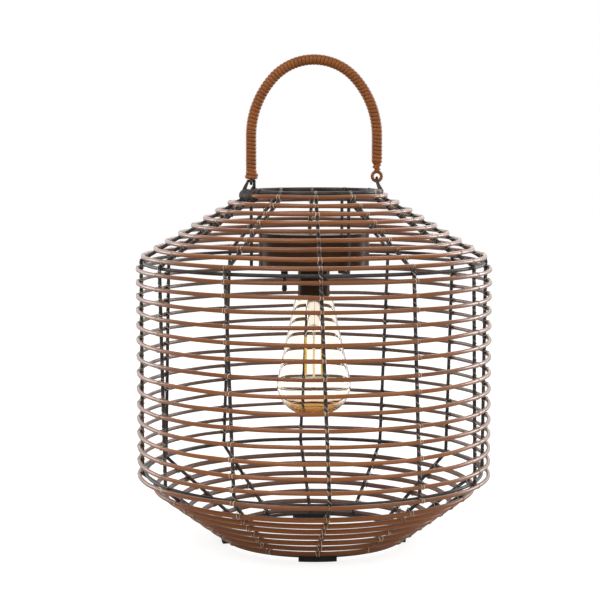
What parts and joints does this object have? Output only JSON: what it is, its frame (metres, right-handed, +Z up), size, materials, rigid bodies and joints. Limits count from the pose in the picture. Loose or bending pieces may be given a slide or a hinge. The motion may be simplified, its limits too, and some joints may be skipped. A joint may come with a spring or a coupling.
{
  "type": "lantern table lamp",
  "caption": "Cordless lantern table lamp: a wire cage wound with rattan hoops, a wrapped bail handle, and a battery case that carries a clear filament bulb inside.",
  "frame": {"origin": "on the lamp's upright axis, in the plane of the table that its feet stand on", "axes": "+Z up along the cage's axis, +X to the right as seen from the front, -Y towards the front"},
  "size_m": [0.305, 0.305, 0.4199],
  "materials": {
    "iron_wire": "satin, powder coated",
    "rattan_strand": "satin, varnished",
    "foot_rubber": "matte",
    "case_plastic": "glossy",
    "tray_plastic": "matte",
    "lever_metal": "satin",
    "plated_steel": "bright",
    "battery_sleeve": "glossy",
    "board_laminate": "glossy",
    "component_plastic": "matte",
    "wire_sleeve": "matte",
    "bulb_glass": "clear, faintly amber",
    "stem_glass": "clear to milky",
    "filament_phosphor": "matte"
  },
  "bodies": {
    "cage": {"top_ring": "iron_wire", "upper_shoulder_ring": "iron_wire", "lower_shoulder_ring": "iron_wire", "base_ring": "iron_wire", "rib_01": "iron_wire", "rib_02": "iron_wire", "rib_03": "iron_wire", "rib_04": "iron_wire", "rib_05": "iron_wire", "rib_06": "iron_wire", "rib_07": "iron_wire", "rib_08": "iron_wire", "rib_09": "iron_wire", "rib_10": "iron_wire", "rib_11": "iron_wire", "rib_12": "iron_wire", "upper_hoops": "rattan_strand", "wall_hoops": "rattan_strand", "lower_hoops": "rattan_strand", "base_feet": "foot_rubber", "hanger_leg_1": "iron_wire", "hanger_leg_2": "iron_wire", "hanger_leg_3": "iron_wire", "link_left": "iron_wire", "link_right": "iron_wire", "lashing_left": "iron_wire", "lashing_right": "iron_wire"},
    "handle": {"handle_core": "iron_wire", "handle_wrap": "rattan_strand", "handle_collar": "rattan_strand", "handle_eye_cover": "rattan_strand"},
    "light_unit": {"lamp_case": "case_plastic", "battery_tray": "tray_plastic", "tray_screws": "plated_steel", "battery_1": "battery_sleeve", "battery_2": "battery_sleeve", "battery_3": "battery_sleeve", "contact_springs": "plated_steel", "contact_plates": "plated_steel", "circuit_board": "board_laminate", "board_parts": "component_plastic", "hookup_wires": "wire_sleeve", "switch_body": "tray_plastic", "switch_nut": "plated_steel", "bulb_holder": "case_plastic", "bulb_glass": "bulb_glass", "bulb_stem": "stem_glass", "led_filaments": "filament_phosphor", "filament_wires": "plated_steel"},
    "battery_cover": {"battery_cover": "case_plastic"},
    "switch": {"switch_lever": "lever_metal"}
  },
  "joints": [
    {"name": "handle_swing", "type": "hinge", "parent": "cage", "child": "handle", "pos_m": [0, 0.002, 0.3125], "axis": [1, 0, 0], "range_deg": [-90, 90]},
    {"name": "light_unit_lift", "type": "slide", "parent": "cage", "child": "light_unit", "axis": [0, 0, 1], "range_m": [0, 0.08]},
    {"name": "battery_cover_lift", "type": "slide", "parent": "light_unit", "child": "battery_cover", "axis": [0, 0, 1], "range_m": [0, 0.02]},
    {"name": "switch_toggle", "type": "hinge", "parent": "light_unit", "child": "switch", "pos_m": [-0.0252, -0.012, 0.2357], "axis": [0, 1, 0], "range_deg": [-12, 12]}
  ]
}
